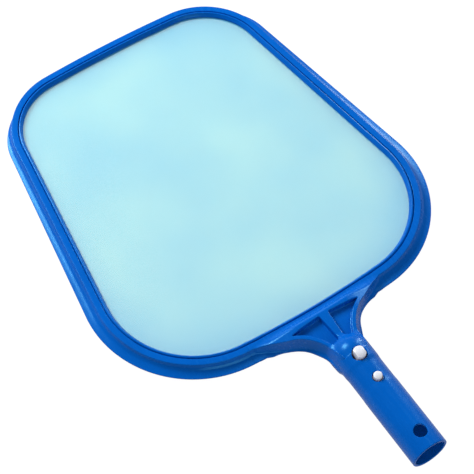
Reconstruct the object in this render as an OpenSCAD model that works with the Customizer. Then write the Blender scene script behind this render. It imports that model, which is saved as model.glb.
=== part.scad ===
// Leaf skimmer net for pools and spas: a moulded head with a pole socket, a ring that
// clamps the net into the head, and a spring clip that locks a pole onto the socket.
// Origin: centre of the socket's mouth. +Y runs along the socket to the far edge of the
// head, +X to the right, +Z up. Lengths are in millimetres.

/* [Pole socket] */
// Outside diameter of the socket tube, over which the pole slides
tube_d = 30; // [29:0.5:31]
// Wall thickness of the socket tube
tube_wall = 2.2; // [2:0.1:2.4]
// Distance from the mouth to the centre of the tube's domed end
tube_l = 97; // [96:0.5:98]
// Length of the full-diameter part of the tube that guides the pole
guide_l = 61; // [58:0.5:62]
// How much slimmer the tube's radius is past that, where the lock pins stand
relief = 0.2; // [0.1:0.05:0.3]
// Distance from the mouth to the low shoulder that stops the pole's end
stop_y = 82; // [80:0.5:82]
// Height of that shoulder
stop_out = 0.2; // [0.1:0.05:0.3]
// Diameter of the cross hole near the mouth
cross_hole_d = 10.4; // [8:0.2:11]
// Distance of the cross hole from the mouth
cross_hole_y = 14.2; // [12:0.2:18]

/* [Head outline] */
// Distance from the mouth to the near edge of the net opening
near_y = 150.6; // [149:0.2:152]
// Length of the net opening
opening_l = 295.4; // [285:0.2:310]
// Distance of the corner arc centres from the middle line
corner_x = 58.5; // [55:0.1:62]
// Radius of the two corners next to the neck
near_r = 73.5; // [70:0.1:78]
// Radius of the two far corners
far_r = 50.9; // [48:0.1:56]
// Radius of the slight bow of the near edge
near_bow_r = 786; // [700:2:1000]
// Radius of the slight bow of the far edge
far_bow_r = 1146; // [900:2:1400]

/* [Rim] */
// Width of the rim outside the net opening, at the neck and the near corners
rim_w = 18; // [17:0.1:19]
// Width of the rim where the sides run into the far corners
side_rim_w = 14.9; // [13:0.1:17]
// Width of the rim along the far edge
far_rim_w = 9.8; // [9.6:0.1:12]
// Distance of the ridge's outer shoulder from the net opening
ridge_out = 9.2; // [9:0.1:9.4]
// Height of the ridge, from the middle of the tube
ridge_z = -3.2; // [-3.4:0.1:-2.6]
// Height of the ledge that the net lies on
ledge_z = -7.9; // [-8.1:0.1:-7.7]
// Height of the outer lip's upper edge
lip_z = -9.2; // [-9.3:0.1:-9.1]
// Underside of the rim
under_z = -10.4; // [-10.8:0.1:-10.3]

/* [Neck plate] */
// Height of the plate's top face
plate_z = 6.4; // [6:0.1:7]
// Depth of the two triangular pockets
pocket_depth = 5; // [3:0.5:6]
// Thickness of the web under the pockets
web_t = 2; // [1.5:0.1:2.5]
// Radius of the outer side of each pocket
pocket_r = 45.2; // [45:0.1:46]
// Radius of the concave sides of the neck
neck_r = 31; // [30.5:0.1:31.5]

/* [Net] */
// Thickness of the net
net_t = 0.5; // [0.3:0.1:0.5]
// How far the net reaches under the clamping ring
net_grip = 3.5; // [3:0.1:3.6]

/* [Spring clip] */
// Distance of the lock pins from the mouth
pin_y = 66.6; // [65:0.2:68]
// Diameter of the lock pins
pin_d = 6.6; // [6:0.2:8]
// How far a lock pin stands out of the tube
pin_out = 2.5; // [2:0.1:2.8]
// Distance of the press pads from the mouth
pad_y = 89.6; // [89:0.2:90]
// Length of the press pads along the socket
pad_d = 10; // [9.6:0.2:11]
// Width of the press pads across the socket, between their two flats
pad_w = 7.8; // [7:0.2:8.4]
// How far a press pad stands out of the tube
pad_out = 3.4; // [2.5:0.1:3.6]
// Distance of the clip's hinge line from the mouth
hinge_y = 100; // [99.5:0.1:100.4]
// Width of the clip
clip_w = 8.4; // [7:0.2:8.6]
// Thickness of the clip's bow and legs
clip_t = 2; // [1.6:0.1:2.2]

/* [Hidden] */
$fn = 64;

tube_r = tube_d / 2;
bore_r = tube_r - tube_wall;
far_y = near_y + opening_l;

// Clearances of the pins and pads in their holes
pin_gap = 0.9;
pad_gap = 0.95;

// Centres of the arcs of the head's outline
near_bow_c = [0, near_y + near_bow_r];
far_bow_c = [0, far_y - far_bow_r];
near_c = [corner_x, near_bow_c[1] - sqrt(pow(near_bow_r - near_r, 2) - pow(corner_x, 2))];
far_c = [corner_x, far_bow_c[1] + sqrt(pow(far_bow_r - far_r, 2) - pow(corner_x, 2))];

// Directions, in degrees, at which one arc of the outline runs into the next
near_turn = atan2(near_c[1] - near_bow_c[1], corner_x);
far_turn = atan2(far_c[1] - far_bow_c[1], corner_x);
side_turn = asin((near_r - far_r) / (far_c[1] - near_c[1]));
bow_steps = 6;
corner_steps = 14;

// Share of the outer flange's full width that is left at the end of the sides and far out
side_share = (side_rim_w - ridge_out) / (rim_w - ridge_out);
far_share = (far_rim_w - ridge_out) / (rim_w - ridge_out);

// Distance from the opening of a point of the section, where only "share" is left of the
// part that lies outside "pivot"
function narrowed(out, pivot, share) = out <= pivot ? out : pivot + (out - pivot) * share;
function eased(t) = t * t * (3 - 2 * t);

// Points on an arc, from its start to step "last" of "steps"
function arc(c, r, a0, a1, steps, last) =
    [for (i = [0 : last]) c + r * [cos(a0 + (a1 - a0) * i / steps), sin(a0 + (a1 - a0) * i / steps)]];

// The far corner's arc, along which the flange narrows
function far_corner(out, pivot) = [
    for (i = [0 : corner_steps - 1])
        let (a = side_turn + (far_turn - side_turn) * i / corner_steps,
             share = side_share + (far_share - side_share) * eased(min(1, 1.6 * i / corner_steps)))
            far_c + (far_r + narrowed(out, pivot, share)) * [cos(a), sin(a)]];

// Right half of the outline, "out" millimetres outside the net opening
function half_outline(out, pivot) = concat(
    arc(near_bow_c, near_bow_r + out, -90, near_turn, bow_steps, bow_steps - 1),
    arc(near_c, near_r + out, near_turn, side_turn, corner_steps, corner_steps),
    far_corner(out, pivot),
    arc(far_bow_c, far_bow_r + narrowed(out, pivot, far_share), far_turn, 90, bow_steps, bow_steps));

// A half outline with its mirror image, without doubling the two middle points
function both_halves(half) =
    concat(half, [for (i = [len(half) - 2 : -1 : 1]) [-half[i][0], half[i][1]]]);

function outline(out, pivot) = both_halves(half_outline(out, pivot));

// Side faces between rings of points, and wrapped from the last ring to the first if closed
function band_faces(rings, count, closed) = [
    for (j = [0 : closed ? rings - 1 : rings - 2])
        for (i = [0 : count - 1])
            [j * count + i, j * count + (i + 1) % count,
             ((j + 1) % rings) * count + (i + 1) % count, ((j + 1) % rings) * count + i]];

// A section of [out, z, pivot] points swept round the head's outline
module sweep(section) {
    rings = [for (p = section) [for (q = outline(p[0], p[2])) [q[0], q[1], p[1]]]];
    count = len(rings[0]);
    polyhedron(points = [for (ring = rings) each ring],
               faces = band_faces(len(section), count, true), convexity = 10);
}

// Rings of points, from the lowest up, joined into a closed solid
module loft(rings) {
    count = len(rings[0]);
    top = (len(rings) - 1) * count;
    polyhedron(points = [for (ring = rings) each ring],
               faces = concat(band_faces(len(rings), count, false),
                              [[for (i = [count - 1 : -1 : 0]) i]],
                              [[for (i = [0 : count - 1]) top + i]]),
               convexity = 10);
}

// ---- Head: a rim, a neck plate and a pole socket, moulded in one ----

// The rim's section: a ledge for the net, a wall with the ridge on top, and a hollow
// outer flange that slopes down to a thin lip
flange_in = 8;
frame_section = [
    [0.6, ledge_z - 2, rim_w], [0.6, ledge_z, rim_w], [4, ledge_z, rim_w],
    [4, ridge_z - 0.5, rim_w], [4.5, ridge_z, rim_w], [8.3, ridge_z, rim_w],
    [ridge_out, ridge_z - 0.7, ridge_out], [10.6, -6, ridge_out], [12.4, -7.6, ridge_out],
    [14.9, -8.6, ridge_out], [rim_w, lip_z, ridge_out], [rim_w, under_z, ridge_out],
    [14.4, under_z + 0.3, flange_in], [11.6, -9.3, flange_in], [9.6, -7.4, flange_in],
    [flange_in, -5.2, flange_in], [6, -5.2, rim_w], [6, ledge_z - 2, rim_w]];

// The neck takes over from the flange at an upright wall outside the ridge, and its ramp
// lies in a shallow recess of the ridge's top
seam_out = 8.75;
module inside_seam() {
    translate([0, 0, -20])
        linear_extrude(20 + ridge_z - 0.5) polygon(outline(seam_out, rim_w));
}

module head_rim() {
    color("dodgerblue")
    difference() {
        sweep(frame_section);
        neck_body();
    }
}

// Centres of the concave arcs of the neck's sides and of the pockets' outer sides
neck_c = [49.5, 101.5];
pocket_c = [51.7, 93.6];
neck_steps = 10;
ramp_y = near_y - 5.3;
socket_end_y = tube_l + 1.5;
neck_foot_y = socket_end_y - 1;

// Half of the neck's outline at its widest, drawn in by "inset"
function neck_half(inset) = concat(
    [[0, ramp_y], [46, ramp_y + 1]],
    arc(neck_c, neck_r + inset, 94, 155, neck_steps, neck_steps),
    [[tube_r - inset, neck_foot_y], [0, neck_foot_y]]);

// Half of the plate's top face, made wider by "grow"
function plate_half(grow) = concat(
    [[0, near_y - 12.8 + grow], [31 + grow, near_y - 12.8 + grow]],
    arc(pocket_c, pocket_r - 3.4 - grow, 113, 157, neck_steps, neck_steps),
    [[10 + grow, neck_foot_y], [0, neck_foot_y]]);

// The neck's edge lies at the rim's lip far out, and rises by edge_rise on its way to the tube
edge_rise = 6;
function edge_z(x) = lip_z + edge_rise * max(0, min(1, (36 - abs(x)) / 20));
function at_edge(half) = [for (p = both_halves(half)) [p[0], p[1], edge_z(p[0])]];
function at_height(half, z) = [for (p = both_halves(half)) [p[0], p[1], z]];

module neck_block() {
    loft([
        at_height(neck_half(1), under_z - 4),
        at_edge(neck_half(0)),
        at_height(plate_half(3.6), 0),
        at_height(plate_half(1), plate_z - 1.2),
        at_height(plate_half(0), plate_z)]);
}

// A triangular pocket on the right of the rib, seen from above
module pocket_shape(grow) {
    polygon(concat(
        [[2.4 - grow, 112.4 - grow], [4.2 - grow, 135.6 + grow]],
        arc(pocket_c, pocket_r - grow, 117.5, 159, neck_steps, neck_steps),
        [[5, 109.8 - grow]]));
}

module pockets() {
    for (side = [0, 1]) {
        mirror([side, 0, 0]) {
            translate([0, 0, plate_z - pocket_depth])
                linear_extrude(pocket_depth + 1) pocket_shape(0);
            translate([0, 0, under_z - 1])
                linear_extrude(plate_z - pocket_depth - web_t - under_z + 1) pocket_shape(0);
        }
    }
}

// A round rod along the socket's axis, with a half ball at its far end
module domed_rod(r, from_y) {
    length = tube_l - from_y;
    translate([0, tube_l, 0]) rotate([-90, 0, 0])
        rotate_extrude()
            intersection() {
                union() {
                    circle(r);
                    translate([0, -length]) square([r, length]);
                }
                translate([0, -length]) square([r + 1, length + r + 1]);
            }
}

// A hole through both walls of the tube
module through_hole(y, d) {
    translate([0, y, -tube_r - 1]) cylinder(d = d, h = tube_d + 2);
}

// Everything on the mouth's side of the plane where the socket ends and the neck begins
module socket_side() {
    translate([-60, socket_end_y - 120, -30]) cube([120, 120, 60]);
}

// The neck with the socket's domed end, before its hollows are cut
module neck_body() {
    difference() {
        union() {
            neck_block();
            domed_rod(tube_r + stop_out, 90);
        }
        inside_seam();
        socket_side();
        translate([-60, 60, under_z - 20.5]) cube([120, 100, 20]);
    }
}

module neck_plate() {
    color("dodgerblue")
    difference() {
        neck_body();
        domed_rod(bore_r, 80);
        pockets();
    }
}

module pole_socket() {
    color("dodgerblue")
    intersection() {
        difference() {
            union() {
                rotate([-90, 0, 0]) cylinder(r = tube_r, h = guide_l);
                domed_rod(tube_r - relief, 0);
                domed_rod(tube_r + stop_out, stop_y);
            }
            domed_rod(bore_r, -1);
            through_hole(cross_hole_y, cross_hole_d);
            through_hole(pin_y, pin_d + 2 * pin_gap);
            through_hole(pad_y, pad_d + 2 * pad_gap);
        }
        socket_side();
    }
}

// ---- Clamping ring and net ----

ring_foot_z = ledge_z + net_t + 0.25;
ring_section = [
    [0, ring_foot_z, rim_w], [0, ring_foot_z + 1, rim_w], [0.5, -4.7, rim_w],
    [1.2, -3.4, rim_w], [2.1, -2.9, rim_w], [3, -3.1, rim_w], [3.6, -3.7, rim_w],
    [3.75, -4.5, rim_w], [3.75, ring_foot_z, rim_w]];

module retaining_ring() {
    color("deepskyblue") sweep(ring_section);
}

module net_mesh() {
    color("paleturquoise")
    translate([0, 0, ledge_z + 0.15])
        linear_extrude(net_t) polygon(outline(net_grip, rim_w));
}

// ---- Spring clip: a bow with two legs, each with a press pad and a lock pin ----

bow_in = 6.5;
bow_out = bow_in + clip_t;
leg_gap = 0.25;
leg_end_y = 58;
leg_end_z = 9.6;

// The bow, a half ring that springs the legs apart
module clip_bow() {
    color("white")
    translate([-clip_w / 2, hinge_y, 0]) rotate([90, 0, 90])
        linear_extrude(clip_w)
            difference() {
                circle(bow_out);
                circle(bow_in);
                translate([-2 * bow_out, -2 * bow_out]) square([2 * bow_out, 4 * bow_out]);
            }
}

// A round button with a domed head and two flats, standing on the leg
module button(y, d, w, top_z, dome_r) {
    intersection() {
        translate([0, y, leg_end_z - 1]) cylinder(d = d, h = top_z);
        translate([0, y, top_z - dome_r]) sphere(dome_r);
        translate([-w / 2, y - d, leg_end_z - 2]) cube([w, 2 * d, top_z]);
    }
}

// The upper leg with its pad and pin
module leg() {
    translate([-clip_w / 2, 0, 0]) rotate([90, 0, 90])
        linear_extrude(clip_w)
            polygon([[hinge_y - leg_gap, bow_in], [hinge_y - leg_gap, bow_out],
                     [leg_end_y, leg_end_z + clip_t], [leg_end_y, leg_end_z]]);
    button(pad_y, pad_d, pad_w, tube_r + pad_out, 10.5);
    button(pin_y, pin_d, pin_d + 1, tube_r + pin_out, 7.5);
}

module clip_leg_top() {
    color("white") leg();
}

module clip_leg_bottom() {
    color("white") mirror([0, 0, 1]) leg();
}

head_rim();
neck_plate();
pole_socket();
retaining_ring();
net_mesh();
clip_bow();
clip_leg_top();
clip_leg_bottom();
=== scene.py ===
"""Looks for the leaf skimmer net: finely rounded shapes for the moulded head and its
clamping ring, the woven net, plastic finishes, and a studio with the photograph's view.
Shapes are worked out in millimetres in the CAD's frame and turned into metres at the end."""
import math

import bpy
import numpy as np
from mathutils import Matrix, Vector


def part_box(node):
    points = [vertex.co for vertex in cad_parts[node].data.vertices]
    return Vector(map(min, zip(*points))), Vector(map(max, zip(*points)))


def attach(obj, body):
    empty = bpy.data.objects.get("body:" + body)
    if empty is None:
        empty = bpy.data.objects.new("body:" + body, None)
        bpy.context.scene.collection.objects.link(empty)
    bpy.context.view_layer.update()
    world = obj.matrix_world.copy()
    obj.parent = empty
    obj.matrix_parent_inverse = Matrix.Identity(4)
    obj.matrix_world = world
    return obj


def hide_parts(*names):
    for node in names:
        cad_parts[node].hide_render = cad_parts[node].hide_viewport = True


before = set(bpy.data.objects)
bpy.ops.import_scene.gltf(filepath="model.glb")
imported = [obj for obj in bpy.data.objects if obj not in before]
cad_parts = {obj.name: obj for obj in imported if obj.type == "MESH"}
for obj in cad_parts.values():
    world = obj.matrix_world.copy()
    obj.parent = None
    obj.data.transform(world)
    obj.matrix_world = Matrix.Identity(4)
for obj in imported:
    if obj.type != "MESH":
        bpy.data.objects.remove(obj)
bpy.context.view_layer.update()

MM = 0.001


def box_mm(node):
    """A CAD node's lowest and highest corners in millimetres."""
    low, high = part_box(node)
    return np.array(low) / MM, np.array(high) / MM


# ---- Sizes taken from the CAD's boxes ----

RING_REACH = 3.75  # how far the clamping ring reaches outside the net's opening
rim_top = box_mm("head_rim")[1]
socket_low = box_mm("pole_socket")[0]
ring_low, ring_high = box_mm("retaining_ring")
net_low, net_high = box_mm("net_mesh")
near_y = ring_low[1] + RING_REACH
far_y = ring_high[1] - RING_REACH
STOP_OUT = 0.2  # how far the shoulder that stops the pole stands out of the tube
tube_r = -socket_low[2] - STOP_OUT

# ---- The outline of the net's opening: five arcs and a line on each side ----

CORNER_X = 58.5
FAR_R = 50.9
NEAR_BOW_R = 786
FAR_BOW_R = 1146
near_r = ring_high[0] - RING_REACH - CORNER_X
rim_w = rim_top[0] - CORNER_X - near_r
side_rim_w = 14.9
far_rim_w = rim_top[1] - far_y

near_bow_c = np.array([0, near_y + NEAR_BOW_R])
far_bow_c = np.array([0, far_y - FAR_BOW_R])
near_c = near_bow_c + [CORNER_X, -math.sqrt((NEAR_BOW_R - near_r) ** 2 - CORNER_X**2)]
far_c = far_bow_c + [CORNER_X, math.sqrt((FAR_BOW_R - FAR_R) ** 2 - CORNER_X**2)]
near_turn = math.atan2(near_c[1] - near_bow_c[1], CORNER_X)
far_turn = math.atan2(far_c[1] - far_bow_c[1], CORNER_X)
side_turn = math.asin((near_r - FAR_R) / (far_c[1] - near_c[1]))

# ---- Heights and widths of the rim's section ----

RIDGE_OUT = 9.2  # the ridge's outer shoulder, outside the opening
FLANGE_IN = 8.0  # where the flange's underside begins
RIDGE_Z = -3.2
LEDGE_Z = -7.9
LIP_Z = -9.2
UNDER_Z = -10.4
HOLLOW_Z = -5.2
NARROWING_RATE = 1.6  # the flange has its least width before the far corner ends
side_share = (side_rim_w - RIDGE_OUT) / (rim_w - RIDGE_OUT)
far_share = (far_rim_w - RIDGE_OUT) / (rim_w - RIDGE_OUT)


def eased(t):
    return t * t * (3 - 2 * t)


def arc_stations(centre, radius, start, end, steps, share=(1, 1), rate=1.0):
    """Base point, outward direction and flange share at each step but the last."""
    t = np.arange(steps) / steps
    angle = start + (end - start) * t
    out = np.column_stack([np.cos(angle), np.sin(angle)])
    shares = share[0] + (share[1] - share[0]) * eased(np.minimum(t * rate, 1))
    return np.column_stack([centre + radius * out, out, shares])


def side_stations(steps):
    """The straight side, along which the flange narrows evenly."""
    out = np.array([math.cos(side_turn), math.sin(side_turn)])
    first, last = near_c + near_r * out, far_c + FAR_R * out
    t = (np.arange(steps) / steps)[:, None]
    shares = 1 + (side_share - 1) * t
    return np.hstack([first + (last - first) * t, np.tile(out, (steps, 1)), shares])


def right_half(start_angle, density=1.0):
    """Stations from start_angle on the near bow to the middle of the far edge."""
    def n(count):
        return max(2, round(count * density))

    last = arc_stations(far_bow_c, FAR_BOW_R, far_turn, math.pi / 2, n(24), (far_share,) * 2)
    middle = np.array([[0, far_y, 0, 1, far_share]])
    return np.vstack([
        arc_stations(near_bow_c, NEAR_BOW_R, start_angle, near_turn, n(24)),
        arc_stations(near_c, near_r, near_turn, side_turn, n(46)),
        side_stations(n(40)),
        arc_stations(far_c, FAR_R, side_turn, far_turn, n(46), (side_share, far_share),
                     NARROWING_RATE),
        last,
        middle,
    ])


def mirrored(half, closed):
    """The right half followed by its mirror image. A closed outline doubles no point."""
    other = half[::-1][1:]
    if closed:
        other = other[:-1]
    other = other * np.array([-1, 1, -1, 1, 1])
    return np.vstack([half, other])


def narrowed(out, pivot, share):
    return np.where(out <= pivot, out, pivot + (out - pivot) * share)


# ---- Rounded sections ----


def rounded(points, radius, sharp=math.radians(14), step=math.radians(14)):
    """A closed polygon with its corners rounded. A third value in a point is kept along
    its arc, and a fourth is the corner's own radius."""
    result = []
    count = len(points)
    for i, here in enumerate(points):
        p = np.array(here[:2], float)
        before = np.array(points[i - 1][:2], float) - p
        after = np.array(points[(i + 1) % count][:2], float) - p
        extra = list(here[2:3])
        len_a, len_b = np.linalg.norm(before), np.linalg.norm(after)
        a, b = before / len_a, after / len_b
        opening = math.acos(max(-1.0, min(1.0, float(a @ b))))
        turn = math.pi - opening
        if turn < sharp:
            result.append(list(p) + extra)
            continue
        r = here[3] if len(here) > 3 else radius
        reach = min(r * math.tan(turn / 2), 0.45 * len_a, 0.45 * len_b)
        r = reach / math.tan(turn / 2)
        centre = p + (a + b) / np.linalg.norm(a + b) * (r / math.cos(turn / 2))
        first, last = p + a * reach - centre, p + b * reach - centre
        steps = max(2, math.ceil(turn / step))
        for k in range(steps + 1):
            t = k / steps
            v = (math.sin((1 - t) * turn) * first + math.sin(t * turn) * last) / math.sin(turn)
            result.append(list(centre + v) + extra)
    return np.array(result)


# Points of the frame's section: distance outside the opening, height, the pivot that its
# narrowing starts from, and the corner's radius
frame_section = rounded([
    [0.6, LEDGE_Z - 2, rim_w, 0.4], [0.6, LEDGE_Z, rim_w, 0.2], [4, LEDGE_Z, rim_w, 0.15],
    [4, RIDGE_Z, rim_w, 0.35], [6.4, RIDGE_Z + 0.12, rim_w, 4],
    [RIDGE_OUT - 0.1, RIDGE_Z, rim_w, 0.6], [10.3, -5.9, RIDGE_OUT, 2.5],
    [12.2, -7.9, RIDGE_OUT, 3.5], [15, -8.9, RIDGE_OUT, 4], [rim_w, LIP_Z - 0.1, RIDGE_OUT, 0.45],
    [rim_w, UNDER_Z, RIDGE_OUT, 0.4], [14.4, UNDER_Z + 0.3, FLANGE_IN, 3],
    [11.6, -9.3, FLANGE_IN, 3], [9.6, -7.4, FLANGE_IN, 2], [FLANGE_IN, HOLLOW_Z, FLANGE_IN, 0.6],
    [6, HOLLOW_Z, rim_w, 0.5], [6, LEDGE_Z - 2, rim_w, 0.4]], 0.4)

ring_foot_z = ring_low[2]
ring_top_z = ring_high[2]
ring_section = rounded([
    [0, ring_foot_z, rim_w, 0.25], [0, ring_foot_z + 1.6, rim_w, 0.5],
    [1.3, ring_top_z - 1.0, rim_w, 0.5], [1.75, ring_top_z - 0.1, rim_w, 0.3],
    [2.3, ring_top_z, rim_w, 0.5], [3.0, ring_top_z - 0.3, rim_w, 0.4],
    [3.45, ring_top_z - 1.5, rim_w, 0.3], [3.7, ring_top_z - 1.8, rim_w, 0.2],
    [3.7, ring_foot_z, rim_w, 0.2]], 0.3)


def sweep(section, stations, closed):
    """Vertices in millimetres and faces of a section swept along stations. An open sweep
    gets a cap at each end."""
    out, z, pivot = section.T
    base, normal, share = stations[:, 0:2], stations[:, 2:4], stations[:, 4]
    far = narrowed(out[None, :], pivot[None, :], share[:, None])
    xy = base[:, None, :] + normal[:, None, :] * far[:, :, None]
    co = np.concatenate([xy, np.broadcast_to(z[None, :, None], xy.shape[:2] + (1,))], axis=2)
    n, m = xy.shape[:2]
    rows = n if closed else n - 1
    i, j = np.meshgrid(np.arange(rows), np.arange(m), indexing="ij")
    i, j = i.ravel(), j.ravel()
    i2, j2 = (i + 1) % n, (j + 1) % m
    faces = np.column_stack([i * m + j, i2 * m + j, i2 * m + j2, i * m + j2]).tolist()
    if not closed:
        faces.append(list(range(m)))
        faces.append([(n - 1) * m + k for k in reversed(range(m))])
    return co.reshape(-1, 3), faces


# ---- Meshes ----


def mesh_object(name, vertices_mm, faces, smooth_angle=None):
    me = bpy.data.meshes.new(name)
    me.from_pydata((np.asarray(vertices_mm) * MM).tolist(), [], faces)
    me.update()
    ob = bpy.data.objects.new(name, me)
    bpy.context.scene.collection.objects.link(ob)
    me.shade_smooth()
    if smooth_angle is not None:
        me.set_sharp_from_angle(angle=smooth_angle)
    return ob


# ---- The neck and socket: a signed distance, meshed by surface nets ----

CUT_X = 62.0  # where the neck's mesh ends on the opening's edge and the swept rim takes over
OVERLAP = 0.8  # how far the two reach into each other
cut_angle = -math.acos(CUT_X / NEAR_BOW_R)
cut_dir = np.array([-math.sin(cut_angle), math.cos(cut_angle)])

# The sizes of the neck and the socket, as in the CAD
PLATE_Z = 6.4
POCKET_DEPTH = 5.0
WEB = 2.0  # thickness under the pockets
neck_under_z = UNDER_Z - 0.5
TUBE_L = 97.0  # from the mouth to the centre of the domed end
TUBE_WALL = 2.2
POCKET_C = np.array([51.7, 93.6])  # the arc of a pocket's outer side
POCKET_R = 45.2
NECK_C = np.array([49.5, 101.5])  # the arc of the neck's concave side
NECK_R = 31.0
CROSS_HOLE_Y, CROSS_HOLE_R = 14.2, 5.2
STOP_Y = 82.0  # the low shoulder that stops the pole
GUIDE_Y, RELIEF = 61.0, 0.2  # the tube is a hair slimmer past this, up to the shoulder
PIN_Y, PIN_HOLE_R = 66.6, 4.2
PAD_Y, PAD_HOLE_R = 89.6, 5.95
STEP_RUN, STEP_BEFORE = 5.0, 0.3  # each of the tube's two tiny steps is eased over this run

# How softly the neck's shapes run into each other, in millimetres
EDGE_SOFT = 0.8
HOLE_SOFT = 0.7
POCKET_SOFT = 0.9
SOCKET_SOFT = 5.5
RIM_SOFT = 1.8
SHOULDER_SOFT = 1.8


def arc_mm(centre, radius, start, end, steps=16):
    angle = np.radians(np.linspace(start, end, steps))
    return (centre + radius * np.column_stack([np.cos(angle), np.sin(angle)])).tolist()


def with_mirror(points):
    """A right half, listed from the middle line round to the middle line, made whole."""
    return points + [[-x, y] for x, y in reversed(points)]


def on_near_bow(xs, out):
    """Points at these x, "out" outside the opening's near edge."""
    radius = NEAR_BOW_R + out
    return [[x, near_bow_c[1] - math.sqrt(radius**2 - x * x)] for x in xs]


def bezier(a, b, c, d, steps=12):
    """Points on a curve from a to d, without its two ends."""
    t = (np.arange(1, steps) / steps)[:, None]
    a, b, c, d = (np.array(p, float) for p in (a, b, c, d))
    curve = (1 - t) ** 3 * a + 3 * t * (1 - t) ** 2 * b + 3 * t * t * (1 - t) * c + t**3 * d
    return curve.tolist()


FOOT_Y = TUBE_L - 4
WALL_IN = 4.3  # the ridge's inner wall, outside the opening
ARM_X = 66.0  # how far the neck's arms are followed along the rim
# The neck's outer edge, which runs into the rim's lip on each side
neck_edge = np.array(with_mirror(
    on_near_bow(range(0, 67, 11), WALL_IN)
    + on_near_bow([ARM_X, 61, 56, 52], rim_w - 0.1)
    + arc_mm(NECK_C, NECK_R, 94, 152) + [[18.3, 108.5], [16.1, 103], [tube_r - 0.6, FOOT_Y]]))
# The line where the top turns down into the slope: the plate's edge, then the ridge's shoulder
shoulder_start = [36.0, 132.4]
shoulder_end = on_near_bow([61.0], RIDGE_OUT)[0]
shoulder = np.array(with_mirror(
    on_near_bow(range(0, 67, 11), WALL_IN - 3) + on_near_bow([ARM_X], RIDGE_OUT) + [shoulder_end]
    + bezier(shoulder_end, [52, shoulder_end[1] - 0.7], [43.5, 136.3], shoulder_start)
    + arc_mm(POCKET_C, POCKET_R - 3.4, 112, 157) + [[10.5, FOOT_Y]]))
pocket = rounded(
    [[2.6, 112.4, 0, 1.6], [4.2, 135.6, 0, 1.2]]
    + [p + [0, 1.9] for p in arc_mm(POCKET_C, POCKET_R, 117.5, 159, 12)]
    + [[5.2, 109.9, 0, 1.5]], 1.6, sharp=math.radians(20))[:, :2]


def polygon_distance(points, polygon):
    """Signed distance of 2D points from a polygon, negative inside."""
    best = np.full(len(points), 1e9)
    inside = np.zeros(len(points), bool)
    for a, b in zip(polygon, np.roll(polygon, -1, axis=0)):
        edge = b - a
        if edge @ edge < 1e-12:
            continue
        to = points - a
        t = np.clip(to @ edge / (edge @ edge), 0, 1)
        best = np.minimum(best, np.sum((to - t[:, None] * edge) ** 2, axis=1))
        crosses = (a[1] > points[:, 1]) != (b[1] > points[:, 1])
        if a[1] != b[1]:
            x = a[0] + (points[:, 1] - a[1]) * edge[0] / edge[1]
            inside ^= crosses & (points[:, 0] < x)
    best = np.sqrt(best)
    return np.where(inside, -best, best)


def smooth_min(a, b, k):
    h = np.maximum(k - np.abs(a - b), 0) / k
    return np.minimum(a, b) - h * h * k / 4


def smooth_max(a, b, k):
    return -smooth_min(-a, -b, k)


# The rim's section as a table of distances, read between its points
TABLE_STEP = 0.1
table_u = np.arange(-3, 22, TABLE_STEP)
table_z = np.arange(-14, 2, TABLE_STEP)
grid_u, grid_z = np.meshgrid(table_u, table_z, indexing="ij")
rim_table = polygon_distance(
    np.column_stack([grid_u.ravel(), grid_z.ravel()]), frame_section[:, :2]).reshape(grid_u.shape)


def rim_distance(x, y, z):
    out = np.hypot(x - near_bow_c[0], y - near_bow_c[1]) - NEAR_BOW_R
    over_u = np.abs(out - np.clip(out, table_u[0], table_u[-2]))
    over_z = np.abs(z - np.clip(z, table_z[0], table_z[-2]))
    fu = (np.clip(out, table_u[0], table_u[-2]) - table_u[0]) / TABLE_STEP
    fz = (np.clip(z, table_z[0], table_z[-2]) - table_z[0]) / TABLE_STEP
    i = np.minimum(fu.astype(int), len(table_u) - 2)
    j = np.minimum(fz.astype(int), len(table_z) - 2)
    fu, fz = fu - i, fz - j
    value = ((1 - fu) * (1 - fz) * rim_table[i, j] + fu * (1 - fz) * rim_table[i + 1, j]
             + (1 - fu) * fz * rim_table[i, j + 1] + fu * fz * rim_table[i + 1, j + 1])
    return value + over_u + over_z


def plan_facts(points):
    """What the neck's distance needs to know about a place in plan: how far inside the
    neck's edge it is, how far from a pocket, and the heights of the top and of the
    underside there. Along the arms, the top comes down to the rim and the neck thins."""
    x, y = np.abs(points[:, 0]), points[:, 1]
    folded = np.column_stack([x, y])
    d_edge = polygon_distance(folded, neck_edge)
    d_shoulder = polygon_distance(folded, shoulder)
    d_pocket = polygon_distance(folded, pocket)
    out = np.hypot(x - near_bow_c[0], y - near_bow_c[1]) - NEAR_BOW_R
    along = np.clip((x - 22) / 39, 0, 1)
    arm = (eased(along) + along) / 2
    ramp = eased(np.clip((out - 4.6) / 9, 0, 1))
    high = RIDGE_Z + (PLATE_Z - RIDGE_Z) * (1 - arm) * ramp
    edge_z = LIP_Z + 6 * eased(np.clip((38 - x) / 24, 0, 1))
    down = np.maximum(d_shoulder, 0)
    t = down / np.maximum(down + np.maximum(-d_edge, 0), 1e-6)
    bend = 2.6 + 1.9 * arm
    slope = high + 0.7 - (high + 0.7 - edge_z) * (1 - (1 - t) ** bend)
    top = smooth_min(high, slope, SHOULDER_SOFT)
    thin = np.maximum(eased(np.clip((x - 36) / 12, 0, 1)), eased(np.clip(1 + d_edge / 7, 0, 1)))
    under = neck_under_z + (np.minimum(top, edge_z) - 2 - neck_under_z) * thin
    return d_edge, d_pocket, top, under


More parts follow.
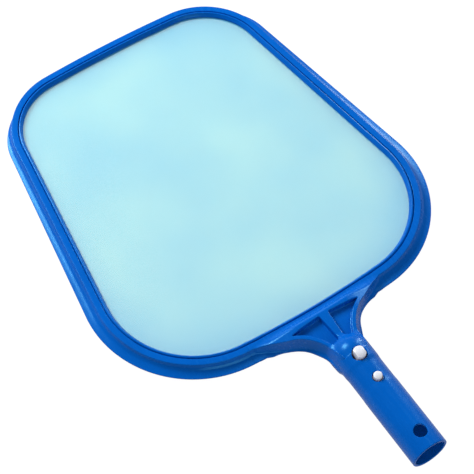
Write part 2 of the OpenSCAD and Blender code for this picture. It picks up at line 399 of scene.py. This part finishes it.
def neck_distance(x, y, z, d_edge, d_pocket, top, under, lean):
    """Signed distance of the neck with the rim's middle part and the socket, in mm."""
    block = smooth_max((z - top) * lean, d_edge, EDGE_SOFT)
    block = smooth_max(block, under - z, EDGE_SOFT)
    # The block shrinks into the rim before the swept rim takes over
    block = block + 3 * eased(np.clip((np.abs(x) - 57) / 5, 0, 1))
    radial = np.hypot(x, z)
    ball = np.sqrt(x * x + (y - TUBE_L) ** 2 + z * z)
    past = y > TUBE_L
    stop = (STOP_OUT + RELIEF) * eased(np.clip((y - STOP_Y) / STEP_RUN + STEP_BEFORE, 0, 1))
    stop = stop - RELIEF * eased(np.clip((y - GUIDE_Y) / STEP_RUN + STEP_BEFORE, 0, 1))
    tube = smooth_max(np.where(past, ball, radial) - tube_r - stop, -y, EDGE_SOFT)
    bore = np.where(past, ball, radial) - (tube_r - TUBE_WALL)
    blend = 0.02 + RIM_SOFT * (1 - eased(np.clip((np.abs(x) - 40) / 14, 0, 1)))
    body = smooth_min(rim_distance(x, y, z), block, blend)
    body = smooth_min(body, tube, SOCKET_SOFT)
    body = smooth_max(body, -bore, HOLE_SOFT)
    for hole_y, hole_r in ((CROSS_HOLE_Y, CROSS_HOLE_R), (PIN_Y, PIN_HOLE_R), (PAD_Y, PAD_HOLE_R)):
        body = smooth_max(body, hole_r - np.hypot(x, y - hole_y), HOLE_SOFT)
    floor_z = PLATE_Z - POCKET_DEPTH
    from_above = smooth_max(d_pocket, floor_z - z, 1.0)
    from_below = smooth_max(d_pocket, z - (floor_z - WEB), 1.0)
    body = smooth_max(body, -from_above, POCKET_SOFT)
    body = smooth_max(body, -from_below, POCKET_SOFT)
    cut = np.abs(x) * cut_dir[0] + (y - near_bow_c[1]) * cut_dir[1]
    return np.maximum(body, cut)


PLAN_STEP = 0.2
PLAN_REACH = (70.0, 158.0)


def plan_tables():
    """The facts on a fine grid over the right half, with the shortening that the slope of
    the top asks for."""
    xs = np.arange(0, PLAN_REACH[0], PLAN_STEP)
    ys = np.arange(-4, PLAN_REACH[1], PLAN_STEP)
    gx, gy = np.meshgrid(xs, ys, indexing="ij")
    facts = plan_facts(np.column_stack([gx.ravel(), gy.ravel()]))
    tables = [f.reshape(gx.shape) for f in facts]
    slope_x, slope_y = np.gradient(tables[2], PLAN_STEP)
    tables.append(1 / np.sqrt(1 + np.minimum(slope_x**2 + slope_y**2, 9)))
    return np.stack(tables)


TABLES = plan_tables()


def plan(x, y):
    """The facts at these places, read between the points of the fine grid."""
    fx = np.clip(np.abs(x) / PLAN_STEP, 0, TABLES.shape[1] - 1.001)
    fy = np.clip((y + 4) / PLAN_STEP, 0, TABLES.shape[2] - 1.001)
    i, j = fx.astype(int), fy.astype(int)
    fx, fy = fx - i, fy - j
    return list((1 - fx) * (1 - fy) * TABLES[:, i, j] + fx * (1 - fy) * TABLES[:, i + 1, j]
                + (1 - fx) * fy * TABLES[:, i, j + 1] + fx * fy * TABLES[:, i + 1, j + 1])


def surface_nets(value, origin, step):
    """Vertices and four-sided faces round the places where value is negative."""
    inside = value < 0
    nx, ny, nz = value.shape
    corners = [(a, b, c) for a in (0, 1) for b in (0, 1) for c in (0, 1)]

    def cut(grid, a, b, c):
        return grid[a:nx - 1 + a, b:ny - 1 + b, c:nz - 1 + c]

    count = sum(cut(inside, *c).astype(np.int8) for c in corners)
    mixed = (count > 0) & (count < 8)
    index = np.full(mixed.shape, -1)
    index[mixed] = np.arange(mixed.sum())
    cells = np.argwhere(mixed)
    total, hits = np.zeros((len(cells), 3)), np.zeros(len(cells))
    for a in corners:
        for axis in range(3):
            if a[axis]:
                continue
            b = tuple(v + (k == axis) for k, v in enumerate(a))
            va, vb = cut(value, *a)[mixed], cut(value, *b)[mixed]
            crosses = (va < 0) != (vb < 0)
            t = np.where(crosses, va / np.where(crosses, va - vb, 1), 0)
            place = np.array(a, float) + np.outer(t, np.eye(3)[axis])
            total[crosses] += place[crosses]
            hits += crosses
    vertices = origin + (cells + total / hits[:, None]) * step
    faces = []
    for axis in range(3):
        b, c = (axis + 1) % 3, (axis + 2) % 3
        size = list(value.shape)
        low = [slice(1, size[k] - 1) for k in range(3)]
        low[axis] = slice(0, size[axis] - 1)
        high = list(low)
        high[axis] = slice(1, size[axis])
        here, there = inside[tuple(low)], inside[tuple(high)]
        start = np.array([1, 1, 1])
        start[axis] = 0
        for flip in (False, True):
            at = np.argwhere(here & ~there if not flip else ~here & there) + start
            eb, ec = np.eye(3, dtype=int)[b], np.eye(3, dtype=int)[c]
            ring = [at - eb - ec, at - ec, at, at - eb]
            quad = np.column_stack([index[tuple(r.T)] for r in ring])
            faces.append(quad[:, ::-1] if flip else quad)
    return vertices, np.vstack(faces)


GRID = 0.62  # step of the grid on which the neck's surface is found


def neck_surface():
    """Vertices, normals and faces of the neck, its vertices settled on the exact surface."""
    low = np.array([-CUT_X - 4, -1.5, -tube_r - 1.5]) + 0.013
    high = np.array([CUT_X + 4, near_y + 4, tube_r + 1.5])
    axes = [np.arange(a, b, GRID) for a, b in zip(low, high)]
    px, py = np.meshgrid(axes[0], axes[1], indexing="ij")
    facts = [f[:, :, None] for f in plan(px, py)]
    value = neck_distance(px[:, :, None], py[:, :, None], axes[2][None, None, :], *facts)
    vertices, faces = surface_nets(value, low, GRID)

    def distance(p):
        return neck_distance(p[:, 0], p[:, 1], p[:, 2], *plan(p[:, 0], p[:, 1]))

    def gradient(p, h):
        parts = [distance(p + h * e) - distance(p - h * e) for e in np.eye(3)]
        return np.column_stack(parts) / (2 * h)

    for _ in range(5):
        g = gradient(vertices, 0.08)
        length = np.maximum(np.sum(g * g, axis=1), 0.25)
        move = -distance(vertices)[:, None] * g / length[:, None]
        far = np.maximum(np.linalg.norm(move, axis=1) / (0.4 * GRID), 1)
        vertices = vertices + move / far[:, None]
    g = gradient(vertices, 0.22)
    normals = g / np.maximum(np.linalg.norm(g, axis=1), 1e-6)[:, None]
    return vertices, normals, faces


def vertex_normals(vertices, faces):
    """Smooth normals of a mesh of four-sided faces."""
    quads = np.array([f for f in faces if len(f) == 4])
    p = vertices[quads]
    cross = np.cross(p[:, 2] - p[:, 0], p[:, 3] - p[:, 1])
    total = np.zeros_like(vertices)
    for k in range(4):
        np.add.at(total, quads[:, k], cross)
    return total / np.maximum(np.linalg.norm(total, axis=1), 1e-9)[:, None]


neck_v, neck_n, neck_f = neck_surface()
rim_stations = mirrored(right_half(cut_angle - OVERLAP / NEAR_BOW_R), closed=False)
rim_v, rim_f = sweep(frame_section, rim_stations, closed=False)
head_v = np.vstack([neck_v, rim_v])
head_f = neck_f.tolist() + [[k + len(neck_v) for k in f] for f in rim_f]
head_n = np.vstack([neck_n, vertex_normals(rim_v, rim_f)])

head = mesh_object("head_moulding", head_v, head_f)
head.data.normals_split_custom_set_from_vertices(head_n.tolist())
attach(head, "head")
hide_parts("head_rim", "neck_plate", "pole_socket")

ring_stations = mirrored(right_half(-math.pi / 2), closed=True)
ring_v, ring_f = sweep(ring_section, ring_stations, closed=True)
ring = mesh_object("clamping_ring", ring_v, ring_f, smooth_angle=math.radians(40))
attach(ring, "head")
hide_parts("retaining_ring")

# ---- The net: one taut sheet with slight slack ----

NET_REACH = 3.5  # how far the net reaches under the clamping ring
NET_RINGS = 70
net_z = (net_low[2] + net_high[2]) / 2
edge = mirrored(right_half(-math.pi / 2, density=1.3), closed=True)
net_outline = edge[:, :2] + edge[:, 2:4] * NET_REACH
net_centre = np.array([0, (near_y + far_y) / 2])


def slack(x, y, t):
    """Height of the soft waves of the net, dying out towards its clamped edge."""
    wave = (0.5 * np.sin(x / 19 + 0.6 * np.sin(y / 41) + 0.4)
            + 0.4 * np.sin(y / 27 - x / 60 + 1.1)
            + 0.25 * np.sin((x + y) / 13.5 + 0.8 * np.sin(y / 23)))
    return wave * 0.22 * (1 - t**6)


def net_surface():
    vertices, faces = [], []
    count = len(net_outline)
    vertices.append([*net_centre, 0.0])
    for k in range(1, NET_RINGS + 1):
        t = (k / NET_RINGS) ** 0.85
        ring_xy = net_centre + (net_outline - net_centre) * t
        z = slack(ring_xy[:, 0], ring_xy[:, 1], t)
        vertices.extend(np.column_stack([ring_xy, z]).tolist())
    for i in range(count):
        faces.append([0, 1 + i, 1 + (i + 1) % count])
    for k in range(NET_RINGS - 1):
        a, b = 1 + k * count, 1 + (k + 1) * count
        for i in range(count):
            j = (i + 1) % count
            faces.append([a + i, b + i, b + j, a + j])
    vertices = np.array(vertices)
    vertices[:, 2] += net_z
    return vertices, faces


net_v, net_f = net_surface()
net = mesh_object("net_sheet", net_v, net_f)
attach(net, "head")
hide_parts("net_mesh")
net_size = np.ptp(net_outline, axis=0) * MM

# ---- Materials ----


def material(name):
    m = bpy.data.materials.new(name)
    m.use_nodes = True
    nodes = m.node_tree.nodes
    nodes.clear()
    return m, nodes, m.node_tree.links


def add(nodes, kind, **inputs):
    node = nodes.new(kind)
    for key, value in inputs.items():
        node.inputs[key.replace("_", " ")].default_value = value
    return node


def mapped(nodes, links, source, low, high, to_low, to_high):
    node = nodes.new("ShaderNodeMapRange")
    node.inputs["From Min"].default_value = low
    node.inputs["From Max"].default_value = high
    node.inputs["To Min"].default_value = to_low
    node.inputs["To Max"].default_value = to_high
    links.new(source, node.inputs["Value"])
    return node.outputs["Result"]


def moulded_plastic(name, dark, light, rough, streak_scale, level, tint, subsurface=0.0):
    """Moulded plastic: slight clouding of the colour, uneven gloss and fine scuffs."""
    m, nodes, links = material(name)
    place = nodes.new("ShaderNodeTexCoord")
    cloud = add(nodes, "ShaderNodeTexNoise", Scale=28.0, Detail=3.0, Roughness=0.55)
    links.new(place.outputs["Object"], cloud.inputs["Vector"])
    colour = nodes.new("ShaderNodeMix")
    colour.data_type = "RGBA"
    colour.inputs[6].default_value = (*dark, 1)
    colour.inputs[7].default_value = (*light, 1)
    links.new(mapped(nodes, links, cloud.outputs["Fac"], 0.3, 0.7, 0, 1), colour.inputs[0])
    stretch = nodes.new("ShaderNodeMapping")
    stretch.inputs["Scale"].default_value = streak_scale
    links.new(place.outputs["Object"], stretch.inputs["Vector"])
    scuff = add(nodes, "ShaderNodeTexNoise", Scale=420.0, Detail=5.0, Roughness=0.62)
    links.new(stretch.outputs["Vector"], scuff.inputs["Vector"])
    gloss = mapped(nodes, links, scuff.outputs["Fac"], 0.3, 0.75, rough - 0.05, rough + 0.09)
    grain = add(nodes, "ShaderNodeTexNoise", Scale=1500.0, Detail=2.0, Roughness=0.5)
    links.new(place.outputs["Object"], grain.inputs["Vector"])
    bump = add(nodes, "ShaderNodeBump", Strength=0.01, Distance=0.0001)
    links.new(grain.outputs["Fac"], bump.inputs["Height"])
    waviness = add(nodes, "ShaderNodeTexNoise", Scale=55.0, Detail=1.0, Roughness=0.4)
    links.new(place.outputs["Object"], waviness.inputs["Vector"])
    sink = add(nodes, "ShaderNodeBump", Strength=0.07, Distance=0.0006)
    links.new(waviness.outputs["Fac"], sink.inputs["Height"])
    links.new(bump.outputs["Normal"], sink.inputs["Normal"])
    shader = nodes.new("ShaderNodeBsdfPrincipled")
    shader.inputs["IOR"].default_value = 1.49
    shader.inputs["Specular IOR Level"].default_value = level
    shader.inputs["Specular Tint"].default_value = (*tint, 1)
    shader.inputs["Subsurface Weight"].default_value = subsurface
    shader.inputs["Subsurface Radius"].default_value = (0.0015, 0.0015, 0.002)
    links.new(colour.outputs[2], shader.inputs["Base Color"])
    links.new(gloss, shader.inputs["Roughness"])
    links.new(sink.outputs["Normal"], shader.inputs["Normal"])
    out = nodes.new("ShaderNodeOutputMaterial")
    links.new(shader.outputs["BSDF"], out.inputs["Surface"])
    return m


WEAVE_PITCH = 0.001
# Middle and half sizes of the net, in metres
EDGE_MID_Y = float(net_centre[1]) * MM
EDGE_HALF_X = float(net_size[0]) / 2
EDGE_HALF_Y = float(net_size[1]) / 2


def woven_net():
    """Fine plain weave: two families of threads, open between them."""
    m, nodes, links = material("woven_net")
    place = nodes.new("ShaderNodeTexCoord")
    split = nodes.new("ShaderNodeSeparateXYZ")
    links.new(place.outputs["Object"], split.inputs["Vector"])

    def math_node(operation, a, b=None, c=None):
        node = nodes.new("ShaderNodeMath")
        node.operation = operation
        for k, v in enumerate((a, b, c)):
            if v is None:
                continue
            if isinstance(v, (int, float)):
                node.inputs[k].default_value = v
            else:
                links.new(v, node.inputs[k])
        return node.outputs["Value"]

    def thread(axis):
        turn = math_node("MULTIPLY", split.outputs[axis], 2 * math.pi / WEAVE_PITCH)
        return math_node("MULTIPLY_ADD", math_node("COSINE", turn), 0.5, 0.5)

    warp, weft = thread("X"), thread("Y")
    cover_warp = mapped(nodes, links, warp, 0.3, 0.8, 0.25, 1)
    cover_weft = mapped(nodes, links, weft, 0.3, 0.8, 0.25, 1)
    cover = math_node("MAXIMUM", cover_warp, cover_weft)
    height = math_node("MAXIMUM", warp, weft)
    bump = add(nodes, "ShaderNodeBump", Strength=0.35, Distance=0.00015)
    links.new(height, bump.inputs["Height"])

    # Painted shade: the yarn is coloured bluer towards the clamped edge, where the rim shades it
    # and reflects its blue, and in a few soft strokes that paint the shading of the net's slack
    cloud = add(nodes, "ShaderNodeTexNoise", Scale=9.0, Detail=2.0, Roughness=0.5)
    links.new(place.outputs["Object"], cloud.inputs["Vector"])
    across = math_node("POWER", math_node("ABSOLUTE", math_node(
        "MULTIPLY", split.outputs["X"], 1 / EDGE_HALF_X)), 4)
    along = math_node("POWER", math_node("ABSOLUTE", math_node(
        "MULTIPLY_ADD", split.outputs["Y"], 1 / EDGE_HALF_Y, -EDGE_MID_Y / EDGE_HALF_Y)), 4)
    painted_rim_shade = mapped(nodes, links, math_node("ADD", across, along), 0.4, 1.15, 0, 0.9)
    painted_slack_shade = mapped(nodes, links, cloud.outputs["Fac"], 0.35, 0.62, 0.5, 1)
    share = math_node("SUBTRACT", painted_slack_shade, painted_rim_shade)
    # The darker blue is used where the painted shade is strongest, the paler cyan elsewhere
    colour = nodes.new("ShaderNodeMix")
    colour.data_type = "RGBA"
    colour.inputs[6].default_value = (0.13, 0.62, 0.86, 1)
    colour.inputs[7].default_value = (0.36, 0.82, 0.87, 1)
    links.new(share, colour.inputs[0])
    surface = nodes.new("ShaderNodeBsdfPrincipled")
    surface.inputs["Roughness"].default_value = 0.5
    surface.inputs["IOR"].default_value = 1.45
    links.new(colour.outputs[2], surface.inputs["Base Color"])
    links.new(bump.outputs["Normal"], surface.inputs["Normal"])
    through = nodes.new("ShaderNodeBsdfTranslucent")
    links.new(colour.outputs[2], through.inputs["Color"])
    yarn = add(nodes, "ShaderNodeMixShader", Fac=0.45)
    links.new(surface.outputs["BSDF"], yarn.inputs[1])
    links.new(through.outputs["BSDF"], yarn.inputs[2])
    clear = nodes.new("ShaderNodeBsdfTransparent")
    both = nodes.new("ShaderNodeMixShader")
    links.new(cover, both.inputs["Fac"])
    links.new(clear.outputs["BSDF"], both.inputs[1])
    links.new(yarn.outputs["Shader"], both.inputs[2])
    out = nodes.new("ShaderNodeOutputMaterial")
    links.new(both.outputs["Shader"], out.inputs["Surface"])
    return m


blue = moulded_plastic("blue_polypropylene", (0.0, 0.092, 0.45), (0.0, 0.104, 0.50), 0.24,
                       (1, 0.25, 1), level=0.32, tint=(0.15, 0.75, 1.0))
white = moulded_plastic("white_acetal", (0.67, 0.70, 0.78), (0.73, 0.75, 0.82), 0.3,
                        (1, 0.3, 1), level=0.4, tint=(1, 1, 1), subsurface=0.15)
head.data.materials.append(blue)
ring.data.materials.append(blue)
net.data.materials.append(woven_net())
for node in ("clip_bow", "clip_leg_top", "clip_leg_bottom"):
    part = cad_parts[node]
    part.data.materials.clear()
    part.data.materials.append(white)
    part.data.shade_smooth()

# ---- Studio ----

# The head lies on its lower press pad and its far lip, so the floor leans a little
pad_low = box_mm("clip_leg_bottom")[0][2]
lean = (UNDER_Z - pad_low) / (rim_top[1] - PAD_Y)
FLOOR_HALF = 4.0
floor_mid = np.array([0, 200.0]) * MM


def floor_z(y):
    return (pad_low - 0.2 - lean * PAD_Y) * MM + lean * y


floor_v = [[sx * FLOOR_HALF, floor_mid[1] + sy * FLOOR_HALF, 0] for sx, sy in
           ((-1, -1), (1, -1), (1, 1), (-1, 1))]
for v in floor_v:
    v[2] = floor_z(v[1])
floor = mesh_object("studio_floor", np.array(floor_v) / MM, [[0, 1, 2, 3]])
paper, paper_nodes, paper_links = material("pale_paper")
paper_shader = add(paper_nodes, "ShaderNodeBsdfPrincipled", Roughness=0.9)
paper_shader.inputs["Base Color"].default_value = (0.55, 0.55, 0.55, 1)
paper_shader.inputs["Specular IOR Level"].default_value = 0.1
# As on a lit table, the paper is evenly white to the camera and throws less light back
glow = add(paper_nodes, "ShaderNodeEmission", Strength=1.12)
rays = paper_nodes.new("ShaderNodeLightPath")
seen = mapped(paper_nodes, paper_links, rays.outputs["Is Camera Ray"], 0, 1, 0.15, 0.88)
paper_mix = paper_nodes.new("ShaderNodeMixShader")
paper_links.new(seen, paper_mix.inputs["Fac"])
paper_links.new(paper_shader.outputs["BSDF"], paper_mix.inputs[1])
paper_links.new(glow.outputs["Emission"], paper_mix.inputs[2])
paper_out = paper_nodes.new("ShaderNodeOutputMaterial")
paper_links.new(paper_mix.outputs["Shader"], paper_out.inputs["Surface"])
floor.data.materials.append(paper)

world = bpy.data.worlds.new("studio")
bpy.context.scene.world = world
world.use_nodes = True
sky = world.node_tree.nodes["Background"]
sky.inputs["Color"].default_value = (1, 1, 1, 1)
sky.inputs["Strength"].default_value = 0.2


def softbox(name, place, aim, size, watts):
    lamp = bpy.data.lights.new(name, "AREA")
    lamp.shape = "RECTANGLE"
    lamp.size, lamp.size_y = size
    lamp.energy = watts
    ob = bpy.data.objects.new(name, lamp)
    bpy.context.scene.collection.objects.link(ob)
    ob.location = place
    ob.rotation_euler = (Vector(aim) - Vector(place)).to_track_quat("-Z", "Y").to_euler()
    return ob


aim = (0.0, 0.2, 0.0)
softbox("key_light", (-0.5, 1.45, 1.02), aim, (0.7, 0.7), 35)
softbox("overhead_light", (0.42, 0.13, 1.34), aim, (0.5, 0.3), 1.5)
softbox("right_light", (1.18, 0.8, 0.38), aim, (0.3, 1.1), 11)
softbox("fill_light", (-0.25, -1.5, 0.8), aim, (1.2, 0.5), 9)

# ---- Camera ----

CAMERA_AZIMUTH = -33.54  # degrees from straight behind the socket's mouth
CAMERA_HEIGHT = 58.51
CAMERA_RANGE = 1.2975
LENS = 124.27
camera_aim = Vector((-0.01204, 0.23644, -0.0091))
azimuth, height = math.radians(CAMERA_AZIMUTH), math.radians(CAMERA_HEIGHT)
back = Vector((math.sin(azimuth) * math.cos(height), -math.cos(azimuth) * math.cos(height),
               math.sin(height)))
camera_data = bpy.data.cameras.new("camera")
camera_data.lens = LENS
camera_data.sensor_width = 36
camera = bpy.data.objects.new("camera", camera_data)
bpy.context.scene.collection.objects.link(camera)
camera.location = camera_aim + back * CAMERA_RANGE
camera.rotation_euler = back.to_track_quat("Z", "Y").to_euler()
bpy.context.scene.camera = camera
bpy.context.scene.view_settings.view_transform = "Standard"
